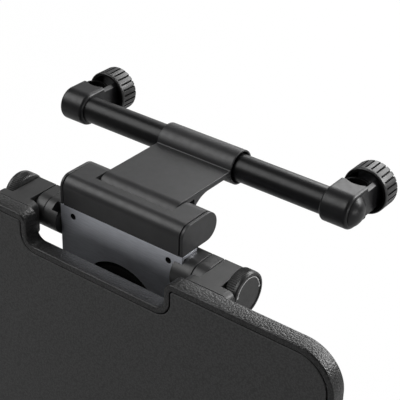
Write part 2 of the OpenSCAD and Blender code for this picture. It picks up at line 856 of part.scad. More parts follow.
at_hinge(LEFT) tray_bracket();  // left_tray_bracket
at_hinge(RIGHT) tray_bracket();  // right_tray_bracket
bracket_screws();
tray_shell();
tray_mat();
at_hinge(LEFT) tilt_knob();  // left_tilt_knob
at_hinge(RIGHT) tilt_knob();  // right_tilt_knob
at_hinge(LEFT) knob_nut();  // left_knob_nut
at_hinge(RIGHT) knob_nut();  // right_knob_nut
at_hinge(LEFT) knob_face();  // left_knob_face
at_hinge(RIGHT) knob_face();  // right_knob_face
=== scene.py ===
"""Looks of a folding headrest tray.

It has a bar with post clamps, a swing arm, a hinge block, a steel plate and a tilting board.
Lengths are in metres unless a name ends in _mm. X runs along the bar, -Y points to the
passenger and Z is up.
"""

import logging
import math
from dataclasses import dataclass, field
from enum import Enum
from typing import Iterable, Sequence

import bpy
from mathutils import Matrix, Vector


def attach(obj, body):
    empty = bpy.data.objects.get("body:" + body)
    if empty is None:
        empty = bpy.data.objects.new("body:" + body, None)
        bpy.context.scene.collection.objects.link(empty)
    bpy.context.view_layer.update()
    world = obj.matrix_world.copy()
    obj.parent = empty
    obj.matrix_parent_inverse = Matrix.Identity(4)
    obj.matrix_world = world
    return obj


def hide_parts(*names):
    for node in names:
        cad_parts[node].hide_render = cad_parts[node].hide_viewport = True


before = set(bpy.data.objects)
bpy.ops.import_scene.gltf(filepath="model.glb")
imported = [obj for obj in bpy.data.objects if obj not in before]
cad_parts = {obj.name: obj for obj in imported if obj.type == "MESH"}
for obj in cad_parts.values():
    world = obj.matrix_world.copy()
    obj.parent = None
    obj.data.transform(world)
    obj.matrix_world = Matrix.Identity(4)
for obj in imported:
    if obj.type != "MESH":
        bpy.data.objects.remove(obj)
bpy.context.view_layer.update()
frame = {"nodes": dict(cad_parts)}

MM = 0.001
LOG = logging.getLogger("headrest_tray")

# Noise values that stand for the two ends of a range
NOISE_LOW = 0.3
NOISE_HIGH = 0.7
# Corners closer than this, in metres, are one corner
WELD_GAP = 0.000002
# Faces that turn less than this are one flat face
FLAT_DEG = 0.6
# Edges that turn more than this are rounded
SHARP_DEG = 38.0

Colour = tuple[float, float, float]
Point = tuple[float, float, float]


class Side(Enum):
    """The two ends of the bar."""

    LEFT = -1
    RIGHT = 1

    @property
    def word(self) -> str:
        """The side's name as the nodes spell it."""
        return self.name.lower()


# Finishes


class Board:
    """The node tree of one material, with its Principled shader."""

    def __init__(self, name: str) -> None:
        """Make an empty material.

        Args:
            name: The material's name.
        """
        self.material = bpy.data.materials.new(name)
        self.material.use_nodes = True
        self.tree = self.material.node_tree
        self.tree.nodes.clear()
        output = self.tree.nodes.new("ShaderNodeOutputMaterial")
        self.shader = self.tree.nodes.new("ShaderNodeBsdfPrincipled")
        self.wire(self.shader.outputs["BSDF"], output.inputs["Surface"])
        self.place = self.tree.nodes.new("ShaderNodeTexCoord").outputs["Object"]

    def wire(self, source: bpy.types.NodeSocket, target: bpy.types.NodeSocket) -> None:
        """Join two sockets."""
        self.tree.links.new(source, target)

    def stretched(self, scale: Point) -> bpy.types.NodeSocket:
        """Object coordinates scaled by a different amount along each axis."""
        node = self.tree.nodes.new("ShaderNodeMapping")
        node.inputs["Scale"].default_value = scale
        self.wire(self.place, node.inputs["Vector"])
        return node.outputs["Vector"]

    def noise(
        self, size_mm: float, detail: float = 3.0, where: bpy.types.NodeSocket | None = None
    ) -> bpy.types.NodeSocket:
        """Noise with spots of a given size.

        Args:
            size_mm: Size of one spot.
            detail: Octaves of finer noise.
            where: Coordinates to use in place of the object's own.

        Returns:
            The noise value, about 0.5 on average.
        """
        node = self.tree.nodes.new("ShaderNodeTexNoise")
        node.inputs["Scale"].default_value = 1.0 / (size_mm * MM)
        node.inputs["Detail"].default_value = detail
        self.wire(where or self.place, node.inputs["Vector"])
        return node.outputs["Fac"]

    def pebbles(self, size_mm: float) -> bpy.types.NodeSocket:
        """Distance to the nearest pebble centre of a leather grain."""
        warp = self.tree.nodes.new("ShaderNodeTexNoise")
        warp.inputs["Scale"].default_value = 0.6 / (size_mm * MM)
        self.wire(self.place, warp.inputs["Vector"])
        shift = self.tree.nodes.new("ShaderNodeVectorMath")
        shift.operation = "MULTIPLY_ADD"
        amount = size_mm * MM * 0.8
        shift.inputs[1].default_value = (amount, amount, amount)
        self.wire(warp.outputs["Color"], shift.inputs[0])
        self.wire(self.place, shift.inputs[2])
        node = self.tree.nodes.new("ShaderNodeTexVoronoi")
        node.inputs["Scale"].default_value = 1.0 / (size_mm * MM)
        self.wire(shift.outputs["Vector"], node.inputs["Vector"])
        return node.outputs["Distance"]

    def between(self, value: bpy.types.NodeSocket, low: float, high: float) -> bpy.types.NodeSocket:
        """Map a noise value to low..high."""
        node = self.tree.nodes.new("ShaderNodeMapRange")
        node.inputs["From Min"].default_value = NOISE_LOW
        node.inputs["From Max"].default_value = NOISE_HIGH
        node.inputs["To Min"].default_value = low
        node.inputs["To Max"].default_value = high
        self.wire(value, node.inputs["Value"])
        return node.outputs["Result"]

    def tint(self, value: bpy.types.NodeSocket, dark: Colour, light: Colour) -> None:
        """Colour the shader between two tones.

        Args:
            value: NOISE_LOW gives the dark tone and NOISE_HIGH the light one.
            dark: The darker tone.
            light: The lighter tone.
        """
        ramp = self.tree.nodes.new("ShaderNodeValToRGB")
        ramp.color_ramp.elements[0].position = NOISE_LOW
        ramp.color_ramp.elements[1].position = NOISE_HIGH
        ramp.color_ramp.elements[0].color = (*dark, 1.0)
        ramp.color_ramp.elements[1].color = (*light, 1.0)
        self.wire(value, ramp.inputs["Fac"])
        self.wire(ramp.outputs["Color"], self.shader.inputs["Base Color"])

    def relief(
        self,
        height: bpy.types.NodeSocket,
        depth_mm: float,
        under: bpy.types.NodeSocket | None = None,
    ) -> bpy.types.NodeSocket:
        """Raise the surface by a height map.

        Args:
            height: The height, 0 to 1.
            depth_mm: Height of the relief.
            under: Normal of a coarser relief that this one lies on.

        Returns:
            The bumped normal, which is also joined to the shader.
        """
        node = self.tree.nodes.new("ShaderNodeBump")
        node.inputs["Strength"].default_value = 1.0
        node.inputs["Distance"].default_value = depth_mm * MM
        self.wire(height, node.inputs["Height"])
        if under is not None:
            self.wire(under, node.inputs["Normal"])
        self.wire(node.outputs["Normal"], self.shader.inputs["Normal"])
        return node.outputs["Normal"]


def shade(tone: Colour, factor: float) -> Colour:
    """A lighter or darker tone."""
    return (tone[0] * factor, tone[1] * factor, tone[2] * factor)


@dataclass(frozen=True)
class MouldedPlastic:
    """Satin black plastic with the fine spark-eroded texture of its mould."""

    name: str
    tone: Colour = (0.030, 0.030, 0.032)
    roughness: float = 0.42
    ior: float = 1.5
    grain_mm: float = 0.25
    depth_mm: float = 0.010

    def make(self) -> bpy.types.Material:
        """Build the material."""
        board = Board(self.name)
        board.shader.inputs["IOR"].default_value = self.ior
        board.tint(board.noise(14.0, 2.0), shade(self.tone, 0.88), shade(self.tone, 1.12))
        rough = board.between(board.noise(3.0, 4.0), self.roughness - 0.05, self.roughness + 0.05)
        board.wire(rough, board.shader.inputs["Roughness"])
        coarse = board.relief(board.noise(self.grain_mm * 5.0, 2.0), self.depth_mm * 0.6)
        board.relief(board.noise(self.grain_mm, 2.0), self.depth_mm, coarse)
        return board.material


@dataclass(frozen=True)
class SatinPaint:
    """Black powder paint on the steel tubes, smooth with a slight orange peel."""

    name: str
    tone: Colour = (0.008, 0.008, 0.0085)
    roughness: float = 0.33
    ior: float = 1.38
    peel_mm: float = 1.1

    def make(self) -> bpy.types.Material:
        """Build the material."""
        board = Board(self.name)
        board.shader.inputs["IOR"].default_value = self.ior
        board.tint(board.noise(20.0, 2.0), shade(self.tone, 0.9), shade(self.tone, 1.1))
        rough = board.between(board.noise(2.0, 3.0), self.roughness - 0.04, self.roughness + 0.04)
        board.wire(rough, board.shader.inputs["Roughness"])
        board.relief(board.noise(self.peel_mm, 1.0), 0.006)
        return board.material


@dataclass(frozen=True)
class GrainedLeather:
    """Embossed leather cloth with a fine pebble grain, with painted shade in the valleys between
    the pebbles and lighter pebble tops.
    """

    name: str
    tone: Colour = (0.042, 0.042, 0.042)
    roughness: float = 0.55
    pebble_mm: float = 0.9
    depth_mm: float = 0.06
    # Share of the tone left in the grain's valleys, as painted shade
    valley_shade: float = 0.75

    def make(self) -> bpy.types.Material:
        """Build the material."""
        board = Board(self.name)
        pebbles = board.pebbles(self.pebble_mm)
        rough = board.between(board.noise(1.5, 3.0), self.roughness - 0.08, self.roughness + 0.08)
        board.wire(rough, board.shader.inputs["Roughness"])
        flip = board.tree.nodes.new("ShaderNodeMath")
        flip.operation = "SUBTRACT"
        flip.inputs[0].default_value = 1.0
        board.wire(pebbles, flip.inputs[1])
        # Painted shade and highlight: darker in the valleys between the pebbles, lighter on their
        # tops
        board.tint(flip.outputs["Value"], shade(self.tone, self.valley_shade), shade(self.tone, 1.2))
        coarse = board.relief(board.noise(6.0, 2.0), 0.03)
        board.relief(flip.outputs["Value"], self.depth_mm, coarse)
        return board.material


@dataclass(frozen=True)
class BrushedMetal:
    """Bare or anodised metal with fine lines along one axis."""

    name: str
    tone: Colour = (0.55, 0.55, 0.56)
    roughness: float = 0.32
    lines: Point = (0.08, 1.0, 1.0)
    line_mm: float = 0.12
    depth_mm: float = 0.003

    def make(self) -> bpy.types.Material:
        """Build the material."""
        board = Board(self.name)
        board.shader.inputs["Metallic"].default_value = 1.0
        along = board.stretched(self.lines)
        streaks = board.noise(self.line_mm * 4.0, 3.0, along)
        board.tint(streaks, shade(self.tone, 0.92), shade(self.tone, 1.08))
        wear = board.noise(self.line_mm * 2.0, 3.0, along)
        rough = board.between(wear, self.roughness - 0.05, self.roughness + 0.05)
        board.wire(rough, board.shader.inputs["Roughness"])
        board.relief(board.noise(self.line_mm, 2.0, along), self.depth_mm)
        return board.material


@dataclass(frozen=True)
class SoftRubber:
    """Matt black rubber with a dusty bloom."""

    name: str
    tone: Colour = (0.003, 0.003, 0.003)
    roughness: float = 0.8
    ior: float = 1.15

    def make(self) -> bpy.types.Material:
        """Build the material."""
        board = Board(self.name)
        board.shader.inputs["IOR"].default_value = self.ior
        board.tint(board.noise(9.0, 5.0), shade(self.tone, 0.8), shade(self.tone, 1.5))
        rough = board.between(board.noise(1.2, 3.0), self.roughness - 0.1, self.roughness + 0.1)
        board.wire(rough, board.shader.inputs["Roughness"])
        board.relief(board.noise(0.4, 3.0), 0.012)
        return board.material


@dataclass(frozen=True)
class PrintedInk:
    """White ink with the slight unevenness of pad printing."""

    name: str
    tone: Colour = (0.80, 0.80, 0.80)

    def make(self) -> bpy.types.Material:
        """Build the material."""
        board = Board(self.name)
        board.tint(board.noise(0.8, 3.0), shade(self.tone, 0.9), self.tone)
        rough = board.between(board.noise(0.5, 2.0), 0.45, 0.6)
        board.wire(rough, board.shader.inputs["Roughness"])
        board.relief(board.noise(0.3, 2.0), 0.004)
        return board.material


class Finishes:
    """Every finish of the holder, each made once."""

    def __init__(self) -> None:
        """Build the materials."""
        self.hook = MouldedPlastic("satin_plastic_hook", (0.016, 0.016, 0.017), 0.34, 1.42).make()
        self.arm = MouldedPlastic("satin_plastic_arm", (0.027, 0.027, 0.028), 0.40).make()
        self.hinge = MouldedPlastic("satin_plastic_hinge", (0.031, 0.031, 0.031), 0.40).make()
        self.knob = MouldedPlastic("satin_plastic_knob", (0.024, 0.024, 0.024), 0.36).make()
        # Near-black plastic: the centre bush's own colour, and painted shade inside the clamp
        # knobs, in their slots and in the plate's holes
        self.dark = MouldedPlastic("near_black_plastic_and_painted_shade", (0.004, 0.004, 0.004), 0.6, 1.2).make()
        self.tube = SatinPaint("black_tube_paint").make()
        self.plate = BrushedMetal(
            "grey_anodised_plate", (0.76, 0.78, 0.84), 0.43, depth_mm=0.002
        ).make()
        self.steel = BrushedMetal("turned_steel", (0.52, 0.52, 0.53), 0.30).make()
        self.brass = BrushedMetal("turned_brass", (0.60, 0.44, 0.20), 0.30).make()
        self.rubber = SoftRubber("black_rubber").make()
        self.leather = GrainedLeather(
            "grained_leather_edge", (0.023, 0.023, 0.023), 0.36, depth_mm=0.15, valley_shade=0.4
        ).make()
        self.mat = GrainedLeather(
            "grained_leather_mat", (0.052, 0.052, 0.052), 0.58, depth_mm=0.08, valley_shade=0.75
        ).make()
        self.ink = PrintedInk("white_print").make()


# Mesh helpers


def new_piece(
    name: str, points: Sequence[Point], faces: Sequence[Sequence[int]], smooth: bool = True
) -> bpy.types.Object:
    """Make an object from points and faces.

    Args:
        name: The piece's name.
        points: Corners in metres.
        faces: Corner numbers of each face.
        smooth: Whether the faces are shaded smooth.

    Returns:
        The new object, linked to the scene.
    """
    mesh = bpy.data.meshes.new(name)
    mesh.from_pydata([Vector(p) for p in points], [], [list(f) for f in faces])
    mesh.update()
    if smooth:
        mesh.polygons.foreach_set("use_smooth", [True] * len(mesh.polygons))
    piece = bpy.data.objects.new(name, mesh)
    bpy.context.scene.collection.objects.link(piece)
    return piece


def stack_rings(
    rings: Sequence[Sequence[Point]], cap_first: bool = True, cap_last: bool = True
) -> tuple[list[Point], list[list[int]]]:
    """Join closed rings of equal length into a skin.

    Args:
        rings: The rings, each a closed loop of points.
        cap_first: Whether to close the first ring with one face.
        cap_last: Whether to close the last ring with one face.

    Returns:
        The points and the faces.
    """
    count = len(rings[0])
    points = [p for ring in rings for p in ring]
    faces: list[list[int]] = []
    for level in range(len(rings) - 1):
        a, b = level * count, (level + 1) * count
        faces.extend([a + i, a + (i + 1) % count, b + (i + 1) % count, b + i] for i in range(count))
    if cap_first:
        faces.append(list(range(count))[::-1])
    if cap_last:
        start = (len(rings) - 1) * count
        faces.append([start + i for i in range(count)])
    return points, faces


def quarter(count: int) -> list[tuple[float, float]]:
    """Points (1 - cos, sin) along a quarter turn, from (0, 0) to (1, 1)."""
    steps = [0.5 * math.pi * i / count for i in range(count + 1)]
    return [(1.0 - math.cos(a), math.sin(a)) for a in steps]


class Dresser:
    """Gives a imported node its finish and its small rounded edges."""

    def __init__(self, nodes: dict[str, bpy.types.Object]) -> None:
        """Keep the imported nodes.

        Args:
            nodes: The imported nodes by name.
        """
        self.nodes = nodes

    def dress(
        self, names: Iterable[str], finish: bpy.types.Material, edge_mm: float = 0.3, steps: int = 2
    ) -> None:
        """Dress some nodes.

        Args:
            names: The nodes.
            finish: Their material.
            edge_mm: Radius of the rounding on sharp edges, or 0 for none.
            steps: Faces across each rounded edge.
        """
        for name in names:
            node = self.nodes[name]
            node.data.materials.clear()
            node.data.materials.append(finish)
            if edge_mm > 0.0:
                self.round_edges(node, edge_mm, steps)
            LOG.info("dressed %s in %s", name, finish.name)

    @staticmethod
    def round_edges(node: bpy.types.Object, edge_mm: float, steps: int) -> None:
        """Round a node's sharp edges with modifiers."""
        weld = node.modifiers.new("weld", "WELD")
        weld.merge_threshold = WELD_GAP
        flat = node.modifiers.new("flat", "DECIMATE")
        flat.decimate_type = "DISSOLVE"
        flat.angle_limit = math.radians(FLAT_DEG)
        bevel = node.modifiers.new("round", "BEVEL")
        bevel.width = edge_mm * MM
        bevel.segments = steps
        bevel.limit_method = "ANGLE"
        bevel.angle_limit = math.radians(SHARP_DEG)
        bevel.use_clamp_overlap = True
        bevel.miter_outer = "MITER_ARC"
        even = node.modifiers.new("even", "WEIGHTED_NORMAL")
        even.weight = 80
        even.keep_sharp = False


# Sub-assemblies


@dataclass
class Bar:
    """The telescopic bar between the two hooks."""

    edge_mm: float = 0.5

    def build(self, dresser: Dresser, finishes: Finishes) -> None:
        """Dress the core, the bush and the sliding tubes."""
        dresser.dress(["core_tube"], finishes.steel, 0.15)
        dresser.dress(["centre_bush"], finishes.dark, 0.2)
        dresser.dress(["left_tube", "right_tube"], finishes.tube, self.edge_mm)


@dataclass
class ClampKnob:
    """The knob of one post clamp: a hollow skirt with deep slots between wide lands."""

    side: Side
    axis_x: float = 81.5 * MM
    front: float = 19.0 * MM
    length: float = 12.0 * MM
    radius: float = 12.0 * MM
    inner: float = 10.2 * MM
    bore: float = 3.05 * MM
    web: float = 9.6 * MM
    shoulder: float = 2.0 * MM
    band: float = 1.7 * MM
    ribs: int = 24
    slot_depth: float = 1.0 * MM
    crease_deg: float = 40.0
    # Places across one land and slot, in shares of both, with the slot's share of its depth
    steps: tuple[tuple[float, float], ...] = (
        (-0.35, 0.0), (-0.175, 0.0), (0.0, 0.0), (0.175, 0.0), (0.35, 0.0),
        (0.38, 0.92), (0.5, 1.0), (0.62, 0.92),
    )
    # Faces at the end of each rib's steps that take the near-black finish as painted shade in the
    # slot
    shaded_slot_faces: int = 4

    def ring(self, radius: float, depth: float, share: float = 0.0) -> list[Point]:
        """One ring round the knob.

        Args:
            radius: Radius of the lands.
            depth: Distance behind the knob's front rim.
            share: Depth of the slots, from none to full.

        Returns:
            The ring's points.
        """
        points = []
        for rib in range(self.ribs):
            for turn, sink in self.steps:
                angle = 2.0 * math.pi * (rib + turn) / self.ribs
                r = radius - self.slot_depth * share * sink
                points.append((
                    self.side.value * self.axis_x + r * math.cos(angle),
                    self.front + depth,
                    r * math.sin(angle),
                ))
        return points

    def body(self, dark: bpy.types.Material, light: bpy.types.Material) -> bpy.types.Object:
        """The knob as one closed skin, with painted shade in near-black inside the skirt, on its
        front rim and in the slots.
        """
        r, end, turn = self.radius, self.length, self.shoulder
        rings = [
            self.ring(self.bore, self.web),
            self.ring(self.inner, self.web),
            self.ring(self.inner, 0.25 * MM),
            self.ring(self.inner + 0.25 * MM, 0.0),
            self.ring(r - 0.45 * MM, 0.0),
            self.ring(r - 0.1 * MM, 0.3 * MM),
            self.ring(r, 0.7 * MM),
            self.ring(r, self.band),
            self.ring(r, self.band + 0.15 * MM, 1.0),
            self.ring(r, end - turn, 1.0),
        ]
        for u, v in quarter(4)[1:]:
            rings.append(self.ring(r - turn * u, end - turn * (1.0 - v), 1.0 - 0.8 * u))
        rings.append(self.ring(r - turn - 1.2 * MM, end))
        rings.append(self.ring(self.bore, end))
        rings.append(rings[0])
        points, faces = stack_rings(rings, cap_first=False, cap_last=False)
        count = len(rings[0])
        last = (len(rings) - 1) * count
        faces = [[i - last if i >= last else i for i in face][::-1] for face in faces]
        piece = new_piece(f"{self.side.word}_clamp_grip", points[:last], faces)
        piece.data.set_sharp_from_angle(angle=math.radians(self.crease_deg))
        piece.data.materials.append(light)
        piece.data.materials.append(dark)
        # Bands of faces count from the bore: the inside comes first, the slotted wall later
        inside, slotted, per_rib = 4, 7, len(self.steps)
        # The inside, the front rim and the slot faces take the near-black finish as painted shade
        for number, face in enumerate(piece.data.polygons):
            level, place = divmod(number, count)
            in_shaded_slot = level >= slotted and place % per_rib >= per_rib - self.shaded_slot_faces
            if level < inside or in_shaded_slot:
                face.material_index = 1
        return piece

    def build(self, dresser: Dresser, finishes: Finishes) -> None:
        """Build the knob and let it ride on its screw."""
        word = self.side.word
        dresser.dress([f"{word}_clamp_knob"], finishes.knob, 0.0)
        # The near-black finish paints shade inside the skirt, on its rim and in the slots
        piece = self.body(finishes.dark, finishes.knob)
        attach(piece, f"{word}_clamp")
        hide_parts(f"{word}_clamp_knob")
        LOG.info("built %s", piece.name)


@dataclass
class PostClamp:
    """One hook with its jaw, screw and knob."""

    side: Side
    edge_mm: float = 0.3

    def build(self, dresser: Dresser, finishes: Finishes) -> None:
        """Dress the pieces of the clamp."""
        word = self.side.word
        dresser.dress([f"{word}_hook"], finishes.hook, self.edge_mm, 3)
        dresser.dress([f"{word}_hook_cap"], finishes.hook, 0.25)
        dresser.dress([f"{word}_hook_screw", f"{word}_clamp_screw"], finishes.steel, 0.15)
        dresser.dress([f"{word}_clamp_pad"], finishes.rubber, 0.3)
        ClampKnob(self.side).build(dresser, finishes)


@dataclass
class SwingArm:
    """The moulded arm between the bar and the hinge block."""

    edge_mm: float = 0.5
    sleeve: float = 9.0 * MM
    web_top: float = 1.67 * MM
    wide: float = 6.0 * MM
    tight: float = 0.7 * MM
    weld: float = 0.03 * MM
    # How far a corner may lie from the wide fillet and still belong to it
    near: float = 0.05 * MM
    ahead: float = 0.1 * MM

    def fillet_centre(self, radius: float) -> tuple[float, float]:
        """Centre (y, z) of a fillet between the web's top and the sleeve."""
        reach, z = self.sleeve + radius - self.weld, self.web_top + radius
        return -math.sqrt(reach * reach - z * z), z

    def tight_profile(self, count: int) -> list[tuple[float, float]]:
        """Points (y, z) down the sleeve, round the tight fillet and out on the web."""
        (wide_y, wide_z), (y, z) = self.fillet_centre(self.wide), self.fillet_centre(self.tight)
        high, low = math.atan2(wide_z, wide_y), math.atan2(z, y)
        on_sleeve, on_web = 3, 1
        angles = [high + (low - high) * i / on_sleeve for i in range(on_sleeve)]
        sleeve = [(self.sleeve * math.cos(a), self.sleeve * math.sin(a)) for a in angles]
        bends = count - on_sleeve - on_web - 1
        first, last = low - math.pi, -0.5 * math.pi
        bend = []
        for i in range(bends + 1):
            a = first + (last - first) * i / bends
            bend.append((y + self.tight * math.cos(a), z + self.tight * math.sin(a)))
        return sleeve + bend + [(0.5 * (y + wide_y), self.web_top)]

    def skin(self, node: bpy.types.Object) -> bpy.types.Object:
        """A copy of the arm with a tight fillet between the sleeve and the web."""
        wide_y, wide_z = self.fillet_centre(self.wide)
        piece = bpy.data.objects.new("arm_skin", node.data.copy())
        piece.matrix_world = node.matrix_world.copy()
        bpy.context.scene.collection.objects.link(piece)
        rows: dict[float, list[bpy.types.MeshVertex]] = {}
        for vertex in piece.data.vertices:
            y, z = vertex.co.y - wide_y, vertex.co.z - wide_z
            on_fillet = abs(math.hypot(y, z) - self.wide) < self.near
            if on_fillet and z < 0.0 and y > -self.ahead:
                rows.setdefault(round(math.atan2(z, y), 2), []).append(vertex)
        turns = sorted(rows, reverse=True)
        for turn, (y, z) in zip(turns, self.tight_profile(len(turns))):
            for vertex in rows[turn]:
                vertex.co.y, vertex.co.z = y, z
        LOG.info("tightened %d rows of the arm", len(turns))
        return piece

    def build(self, dresser: Dresser, finishes: Finishes) -> None:
        """Dress the arm and let its tightened skin stand for it."""
        piece = self.skin(dresser.nodes["arm"])
        dresser.dress(["arm"], finishes.arm, 0.0)
        piece.data.materials.clear()
        piece.data.materials.append(finishes.arm)
        dresser.round_edges(piece, self.edge_mm, 3)
        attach(piece, "swing_arm")
        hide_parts("arm")


@dataclass
class HingeBlock:
    """The block that carries the plate, with its pin, washers and end caps."""

    edge_mm: float = 0.5
    hole_x: float = 29.5 * MM
    hole_z: float = -18.45 * MM
    hole_r: float = 1.7 * MM
    hole_front: float = -64.2 * MM
    hole_length: float = 4.4 * MM

    def hole_shade_sleeve(self, side: Side, finish: bpy.types.Material) -> None:
        """A near-black sleeve inside one of the plate's two small holes, closed at its back, as
        painted shade in the hole.
        """
        around, wall, pinhole = 32, 0.1 * MM, 0.2 * MM
        turns = [2.0 * math.pi * i / around for i in range(around)]
        x = side.value * self.hole_x
        rings = []
        # Radius of each ring and its share of the hole's length
        for r, share in (
            (self.hole_r, 0.0),
            (self.hole_r, 1.0),
            (pinhole, 1.0),
            (pinhole, 0.97),
            (self.hole_r - wall, 0.9),
            (self.hole_r - wall, 0.0),
        ):
            y = self.hole_front + share * self.hole_length
            rings.append([(x + r * math.cos(a), y, self.hole_z + r * math.sin(a)) for a in turns])
        points, faces = stack_rings(rings + rings[:1], cap_first=False, cap_last=False)
        last = len(rings) * around
        faces = [[i % last for i in face] for face in faces]
        piece = new_piece(f"{side.word}_hole_thread", points[:last], faces)
        piece.data.materials.append(finish)
        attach(piece, "block")

    def build(self, dresser: Dresser, finishes: Finishes) -> None:
        """Dress the block and what is fixed to it."""
        dresser.dress(["hinge_block"], finishes.arm, 0.15)
        dresser.dress(["left_block_cap", "right_block_cap"], finishes.arm, self.edge_mm, 3)
        dresser.dress(["block_pin", "left_arm_washer", "right_arm_washer"], finishes.steel, 0.15)
        dresser.dress(["mount_plate"], finishes.plate, 0.2)
        dresser.dress(["plate_screws"], finishes.steel, 0.15)
        dresser.dress(["rest_pad"], finishes.rubber, 0.35)
        # Near-black sleeves in the plate's two holes, as painted shade
        for side in Side:
            self.hole_shade_sleeve(side, finishes.dark)


@dataclass
class TrayHinge:
    """The friction hinges on both sides of the plate."""

    edge_mm: float = 0.5

    def build(self, dresser: Dresser, finishes: Finishes) -> None:
        """Dress the knuckles, rings, brackets and bolts."""
        for side in Side:
            word = side.word
            knuckles = [f"{word}_fixed_knuckle", f"{word}_friction_ring"]
            dresser.dress(knuckles, finishes.hinge, self.edge_mm, 3)
            dresser.dress([f"{word}_tray_bracket"], finishes.hinge, self.edge_mm, 3)
            dresser.dress([f"{word}_hinge_bolt"], finishes.steel, 0.15)
            dresser.dress([f"{word}_knob_nut"], finishes.brass, 0.15)
        dresser.dress(["bracket_screws"], finishes.steel, 0.15)


@dataclass
class TiltKnob:
    """A knurled knob with a printed mark, at the end of the tray's hinge."""

    side: Side
    middle: float = -1.3 * MM
    axis_y: float = -57.6 * MM
    axis_z: float = -23.0 * MM
    inner: float = 64.55 * MM
    outer: float = 71.55 * MM
    radius: float = 11.0 * MM
    ribs: int = 64
    rib_depth: float = 0.5 * MM
    smooth_band: float = 2.1 * MM
    chamfer: float = 0.7 * MM
    lip: float = 1.75 * MM
    face_sunk: float = 0.35 * MM
    dot: float = 0.65 * MM
    dot_corners: int = 20
    # Shape of the printed arc: share of the knob's radius, half its width, and its turn
    mark_share: float = 0.775
    mark_half: float = 0.17 * MM
    mark_start_deg: float = 3.0
    mark_turn_deg: float = 160.0
    mark_steps: int = 48
    ink: float = 0.03 * MM

    def at(self, x: float, radius: float, angle: float) -> Point:
        """A point at a distance along the axis, a radius and an angle."""
        return (
            self.middle + self.side.value * x,
            self.axis_y + radius * math.cos(angle),
            self.axis_z + radius * math.sin(angle),
        )

    def ring(self, x: float, radius: float, depth: float = 0.0) -> list[Point]:
        """One ring round the knob, ribbed to a depth."""
        wave = (0.0, -0.5, -1.0, -0.5)
        per_rib = len(wave)
        count = self.ribs * per_rib
        points = []
        for i in range(count):
            angle = 2.0 * math.pi * i / count
            points.append(self.at(x, radius + depth * wave[i % per_rib], angle))
        return points if self.side is Side.RIGHT else points[::-1]

    def body(self) -> bpy.types.Object:
        """The knob's ribbed shell, with a bore at the back and a sunk face."""
        r, d = self.radius, self.rib_depth
        back = self.inner
        band = self.outer - self.smooth_band
        rings = [
            self.ring(back, 4.0 * MM),
            self.ring(back, r - 1.2 * MM),
            self.ring(back + 0.15 * MM, r - 0.75 * MM),
            self.ring(back + 0.5 * MM, r - 0.45 * MM, d * 0.4),
            self.ring(back + 0.8 * MM, r, d),
            self.ring(band - 0.4 * MM, r, d),
            self.ring(band - 0.1 * MM, r, d * 0.4),
            self.ring(band + 0.1 * MM, r),
            self.ring(self.outer - self.chamfer, r - 0.1 * MM),
            self.ring(self.outer - 0.35 * self.chamfer, r - 0.1 * MM - 0.3 * self.chamfer),
            self.ring(self.outer, r - 0.1 * MM - self.chamfer),
            self.ring(self.outer, r - self.lip + 0.15 * MM),
            self.ring(self.outer - 0.1 * MM, r - self.lip),
            self.ring(self.outer - self.face_sunk - 0.6 * MM, r - self.lip),
        ]
        points, faces = stack_rings(rings, cap_first=True, cap_last=True)
        return new_piece(f"{self.side.word}_tilt_grip", points, faces)

    def disc(self) -> bpy.types.Object:
        """The plain face disc, slightly domed at its edge."""
        r = self.radius - self.lip - 0.05 * MM
        top = self.outer - self.face_sunk
        rings = [
            self.ring(top - 0.5 * MM, r),
            self.ring(top - 0.12 * MM, r),
            self.ring(top, r - 0.2 * MM),
            self.ring(top, r - 0.8 * MM),
        ]
        points, faces = stack_rings(rings)
        return new_piece(f"{self.side.word}_tilt_disc", points, faces)

    def mark(self) -> bpy.types.Object:
        """The printed arc with a dot at each end."""
        radius, half = self.mark_share * self.radius, self.mark_half
        x = self.outer - self.face_sunk + self.ink
        start, turn = math.radians(self.mark_start_deg), math.radians(self.mark_turn_deg)
        steps = self.mark_steps
        points: list[Point] = []
        faces: list[list[int]] = []
        for i in range(steps + 1):
            angle = start + turn * i / steps
            points.extend([self.at(x, radius - half, angle), self.at(x, radius + half, angle)])
            if i:
                k = 2 * i
                faces.append([k - 2, k - 1, k + 1, k])
        for angle in (start, start + turn):
            middle = Vector(self.at(x, radius, angle))
            first = len(points)
            for i in range(self.dot_corners):
                a = 2.0 * math.pi * i / self.dot_corners
                y, z = self.dot * math.cos(a), self.dot * math.sin(a)
                points.append((middle.x, middle.y + y, middle.z + z))
            faces.append(list(range(first, first + self.dot_corners)))
        piece = new_piece(f"{self.side.word}_turn_mark", points, faces, smooth=False)
        thick = piece.modifiers.new("ink", "SOLIDIFY")
        thick.thickness = self.ink
        thick.offset = 0.0
        return piece

    def build(self, dresser: Dresser, finishes: Finishes) -> None:
        """Build the knob and let it ride on its body."""
        word = self.side.word
        dresser.dress([f"{word}_tilt_knob", f"{word}_knob_face"], finishes.knob, 0.0)
        pieces = [
            (self.body(), finishes.knob, "knob_plastic", f"{word}_tilt_knob"),
            (self.disc(), finishes.knob, "knob_plastic", f"{word}_knob_face"),
            (self.mark(), finishes.ink, "knob_plastic", ""),
        ]
        for piece, finish, slot, node in pieces:
            piece.data.materials.append(finish)
            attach(piece, f"{word}_tilt")
            if node:
                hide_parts(node)
            LOG.info("built %s", piece.name)


